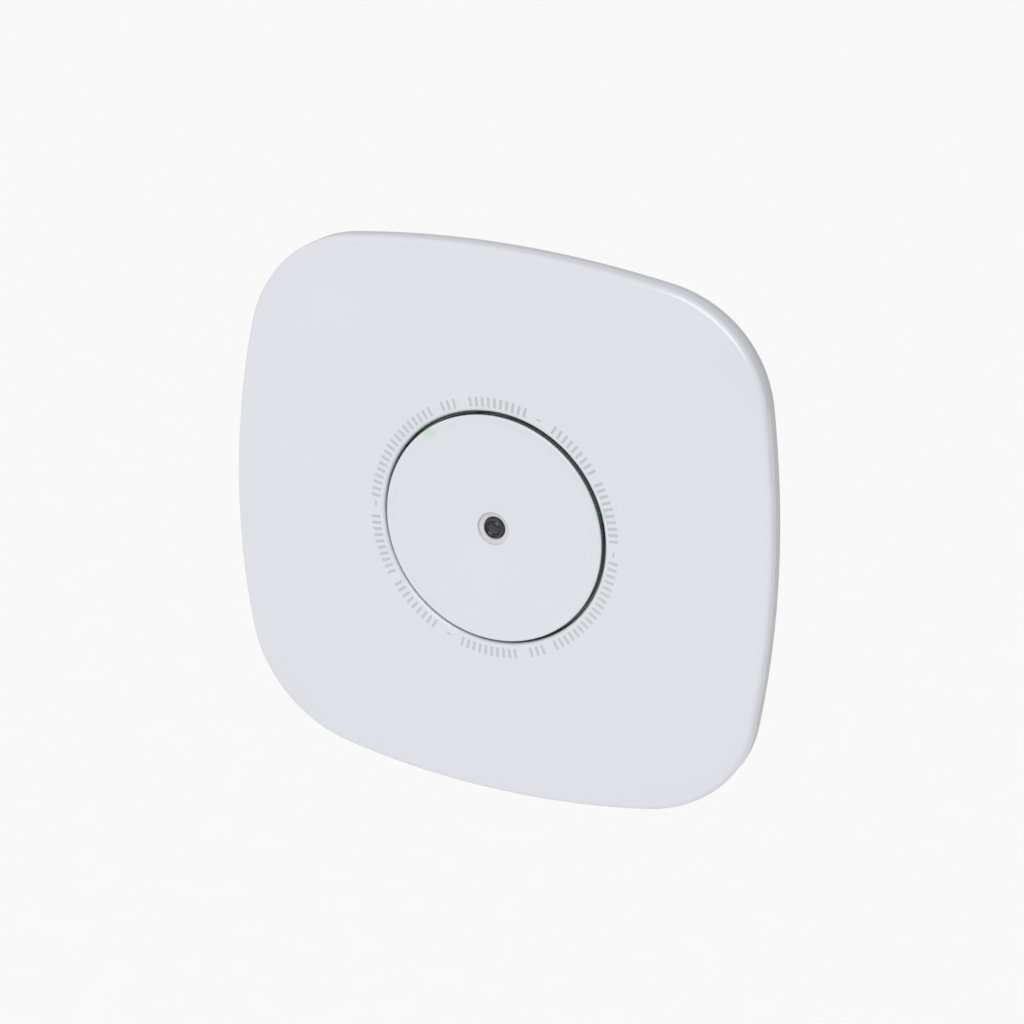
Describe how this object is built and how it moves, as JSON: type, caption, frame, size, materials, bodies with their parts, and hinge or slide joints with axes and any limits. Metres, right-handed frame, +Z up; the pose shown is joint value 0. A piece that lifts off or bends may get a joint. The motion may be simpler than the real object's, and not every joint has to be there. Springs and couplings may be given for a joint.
{
  "type": "smoke alarm",
  "caption": "Slim square-round wall smoke alarm with a large round test button and a twist-off mounting bracket.",
  "frame": {"origin": "centre of the mounting bracket's flat rear face, on the wall", "axes": "+Y into the wall, out of the bracket's rear face; -Y out of the front cover; +Z up the wall; +X to the right for a viewer facing the alarm"},
  "size_m": [0.15, 0.0381, 0.1464],
  "materials": {
    "gloss_white": "glossy moulded ABS, cool white",
    "satin_white": "fine spark-eroded texture, white ABS",
    "rib_white": "white moulded ribs",
    "bezel_grey": "glossy dark grey",
    "lens_black": "polished, smoke-black infrared-pass polycarbonate",
    "black_plastic": "matt black moulded plastic",
    "light_guide": "frosted clear acrylic, faint green",
    "circuit_board": "green solder mask",
    "chip_black": "moulded epoxy",
    "inlet_mesh": "black woven insect screen",
    "steel": "zinc-plated steel",
    "brass": "plain brass disc",
    "copper_coil": "enamelled copper winding",
    "foam": "closed-cell foam",
    "cell_wrap": "shrink-wrapped cell",
    "label_silver": "blank metallised foil"
  },
  "bodies": {
    "bracket": {"mounting_bracket": "satin_white"},
    "alarm": {"rear_housing": "satin_white", "front_cover": "gloss_white", "button_spring": "steel", "switch_body": "black_plastic", "light_guide_ring": "light_guide", "light_board": "circuit_board", "light_sensor": "chip_black", "board_link": "chip_black", "chamber_base": "black_plastic", "chamber_labyrinth": "black_plastic", "chamber_lid": "black_plastic", "chamber_mesh": "inlet_mesh", "infrared_emitter": "lens_black", "smoke_photodiode": "lens_black", "foam_gasket": "foam", "horn_body": "black_plastic", "piezo_disc": "brass", "horn_cap": "black_plastic", "main_board": "circuit_board", "capacitor": "chip_black", "horn_coil": "copper_coil", "microcontroller": "chip_black", "radio_module": "steel", "activation_switch": "chip_black", "rating_label": "label_silver", "status_led_1": "light_guide", "status_led_2": "light_guide", "status_led_3": "light_guide", "housing_screw_1": "steel", "housing_screw_2": "steel", "housing_screw_3": "steel", "housing_screw_4": "steel", "board_screw_1": "steel", "board_screw_2": "steel", "board_screw_3": "steel", "board_screw_4": "steel", "battery_contact_upper_left": "steel", "battery_contact_upper_right": "steel", "battery_contact_lower_left": "steel", "battery_contact_lower_right": "steel", "battery_cell_upper": "cell_wrap", "battery_cell_lower": "cell_wrap", "battery_holder_upper": "black_plastic", "battery_holder_lower": "black_plastic"},
    "test_button": {"button_cap": "gloss_white", "button_grille": "rib_white", "inlet_mesh": "inlet_mesh", "lens_bezel": "bezel_grey", "status_lens": "lens_black", "switch_plunger": "black_plastic"},
    "slider": {"activation_slider": "black_plastic"}
  },
  "joints": [
    {"name": "alarm_twist", "type": "hinge", "parent": "bracket", "child": "alarm", "pos_m": [0, 0, 0], "axis": [0, -1, 0], "range_deg": [0, 18]},
    {"name": "button_press", "type": "slide", "parent": "alarm", "child": "test_button", "axis": [0, 1, 0], "range_m": [0, 0.0012], "stiffness_N_per_m": 1200, "springref_m": -0.0015, "deforming": ["button_spring"]},
    {"name": "slider_move", "type": "slide", "parent": "alarm", "child": "slider", "axis": [1, 0, 0], "range_m": [0, 0.005]}
  ]
}
